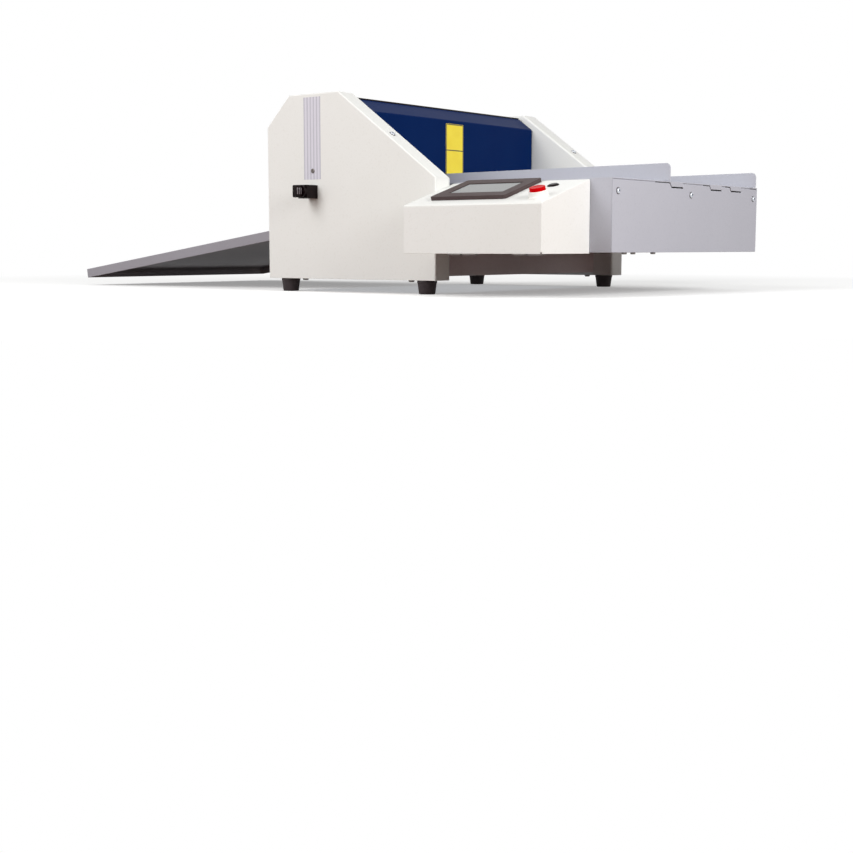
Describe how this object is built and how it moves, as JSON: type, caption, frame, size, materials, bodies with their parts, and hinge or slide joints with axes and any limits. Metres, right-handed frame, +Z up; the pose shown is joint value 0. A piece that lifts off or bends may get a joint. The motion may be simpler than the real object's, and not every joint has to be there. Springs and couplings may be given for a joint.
{
  "type": "paper creasing machine",
  "caption": "Free-standing desktop creasing machine: side housings, hinged safety cover, infeed table with side guides, tilted control console and sloping delivery tray.",
  "frame": {"origin": "on the standing surface, under the middle of the whole machine", "axes": "+Y the way the paper travels, from infeed table to delivery tray; +X to the right of an operator at the infeed table; +Z up"},
  "size_m": [0.6618, 1.1985, 0.327],
  "materials": {
    "housing_paint": "fine textured warm white powder coat",
    "cover_blue": "smooth navy blue coat",
    "table_grey": "fine textured lilac grey powder coat",
    "tray_grey": "fine textured grey powder coat",
    "black_paint": "dark grey coat",
    "tool_steel": "ground steel",
    "zinc_steel": "zinc plated",
    "bronze": "sintered bronze",
    "aluminium_parts": "turned",
    "roller_rubber": "ground rubber sleeve",
    "foot_rubber": "matt moulded",
    "belt_rubber": "fabric backed",
    "black_plastic": "moulded",
    "bezel_plastic": "moulded dark grey",
    "screen_glass": "touch film over a dark display",
    "white_plastic": "moulded",
    "red_plastic": "moulded",
    "label_yellow": "laminated plate",
    "board_green": "circuit board"
  },
  "bodies": {
    "frame": {"left_side_cover": "housing_paint", "right_side_cover": "housing_paint", "left_frame_plate": "housing_paint", "right_frame_plate": "housing_paint", "side_cover_screws": "zinc_steel", "rubber_feet": "foot_rubber", "foot_screws": "zinc_steel", "base_plate": "zinc_steel", "front_lower_panel": "black_paint", "rear_panel": "housing_paint", "upper_rear_panel": "housing_paint", "cover_hinge_pins": "tool_steel", "infeed_table": "table_grey", "table_front_panel": "table_grey", "table_screws": "zinc_steel", "guide_rail": "tool_steel", "console_housing": "housing_paint", "console_bottom_plate": "housing_paint", "screen_bezel": "bezel_plastic", "touch_screen": "screen_glass", "stop_button_collar": "white_plastic", "start_button_collar": "black_plastic", "control_board": "board_green", "delivery_tray": "tray_grey", "tray_brackets": "zinc_steel", "lower_tool_beam": "tool_steel", "beam_supports": "zinc_steel", "crease_matrix": "tool_steel", "guide_columns": "tool_steel", "paper_guide_plates": "zinc_steel", "crease_belt": "belt_rubber", "feed_belt": "belt_rubber", "crease_motor": "black_paint", "stepper_motor": "black_paint", "frame_bearings": "tool_steel", "knob_collar": "black_plastic", "power_inlet": "black_plastic", "power_supply": "aluminium_parts"},
    "safety_cover": {"hinged_cover": "cover_blue", "cover_label_plate": "label_yellow"},
    "tool_carrier": {"upper_tool_beam": "tool_steel", "crease_blade": "tool_steel", "column_bushes": "bronze", "cam_yokes": "zinc_steel"},
    "eccentric": {"eccentric_shaft": "tool_steel", "eccentric_pulley": "aluminium_parts"},
    "crease_motor_wheel": {"motor_pulley": "aluminium_parts"},
    "feed_drum": {"feed_roller": "roller_rubber", "feed_pulley": "aluminium_parts"},
    "pressure_drum": {"pressure_roller": "roller_rubber"},
    "stepper_wheel": {"stepper_pulley": "aluminium_parts"},
    "left_side_guide": {"left_guide": "table_grey", "left_guide_carriage": "black_plastic"},
    "right_side_guide": {"right_guide": "table_grey", "right_guide_carriage": "black_plastic"},
    "stop_cap": {"stop_button": "red_plastic"},
    "start_cap": {"start_button": "black_plastic"},
    "depth_control": {"depth_knob": "black_plastic", "depth_shaft": "tool_steel"},
    "power_switch": {"power_rocker": "black_plastic"}
  },
  "joints": [
    {"name": "cover_hinge", "type": "hinge", "parent": "frame", "child": "safety_cover", "pos_m": [0, -0.0167, 0.308], "axis": [-1, 0, 0], "range_deg": [0, 80]},
    {"name": "tool_stroke", "type": "slide", "parent": "frame", "child": "tool_carrier", "axis": [0, 0, -1], "range_m": [0, 0.0068]},
    {"name": "eccentric_turn", "type": "hinge", "parent": "frame", "child": "eccentric", "pos_m": [0, -0.0587, 0.074], "axis": [1, 0, 0], "range_deg": [0, 180]},
    {"name": "motor_pulley_turn", "type": "hinge", "parent": "frame", "child": "crease_motor_wheel", "pos_m": [0.3011, -0.1887, 0.074], "axis": [1, 0, 0], "range_deg": [0, 360]},
    {"name": "feed_roller_spin", "type": "hinge", "parent": "frame", "child": "feed_drum", "pos_m": [0, -0.1057, 0.1623], "axis": [-1, 0, 0], "continuous": true},
    {"name": "pressure_roller_spin", "type": "hinge", "parent": "frame", "child": "pressure_drum", "pos_m": [0, -0.1057, 0.1897], "axis": [1, 0, 0], "continuous": true},
    {"name": "stepper_pulley_spin", "type": "hinge", "parent": "frame", "child": "stepper_wheel", "pos_m": [-0.2229, -0.1987, 0.102], "axis": [-1, 0, 0], "continuous": true},
    {"name": "left_guide_slide", "type": "slide", "parent": "frame", "child": "left_side_guide", "axis": [1, 0, 0], "range_m": [-0.138, 0.12]},
    {"name": "right_guide_slide", "type": "slide", "parent": "frame", "child": "right_side_guide", "axis": [1, 0, 0], "range_m": [-0.15, 0]},
    {"name": "stop_press", "type": "slide", "parent": "frame", "child": "stop_cap", "axis": [0.2812, 0, -0.9597], "range_m": [0, 0.004], "stiffness_N_per_m": 350, "springref_m": -0.002},
    {"name": "start_press", "type": "slide", "parent": "frame", "child": "start_cap", "axis": [0.2812, 0, -0.9597], "range_m": [0, 0.0015], "stiffness_N_per_m": 300, "springref_m": -0.002},
    {"name": "depth_knob_turn", "type": "hinge", "parent": "frame", "child": "depth_control", "pos_m": [-0.2672, -0.0512, 0.1664], "axis": [-1, 0, 0], "range_deg": [-135, 135]},
    {"name": "power_rocker_tip", "type": "hinge", "parent": "frame", "child": "power_switch", "pos_m": [0.2061, 0.0483, 0.0795], "axis": [-1, 0, 0], "range_deg": [0, 16]}
  ],
  "couplings": [
    {"joint": "eccentric_turn", "follows": "tool_stroke", "rad_per_m": 462},
    {"joint": "motor_pulley_turn", "follows": "tool_stroke", "rad_per_m": 924},
    {"joint": "pressure_roller_spin", "follows": "feed_roller_spin", "ratio": 1.0769},
    {"joint": "stepper_pulley_spin", "follows": "feed_roller_spin", "ratio": 1.5}
  ]
}
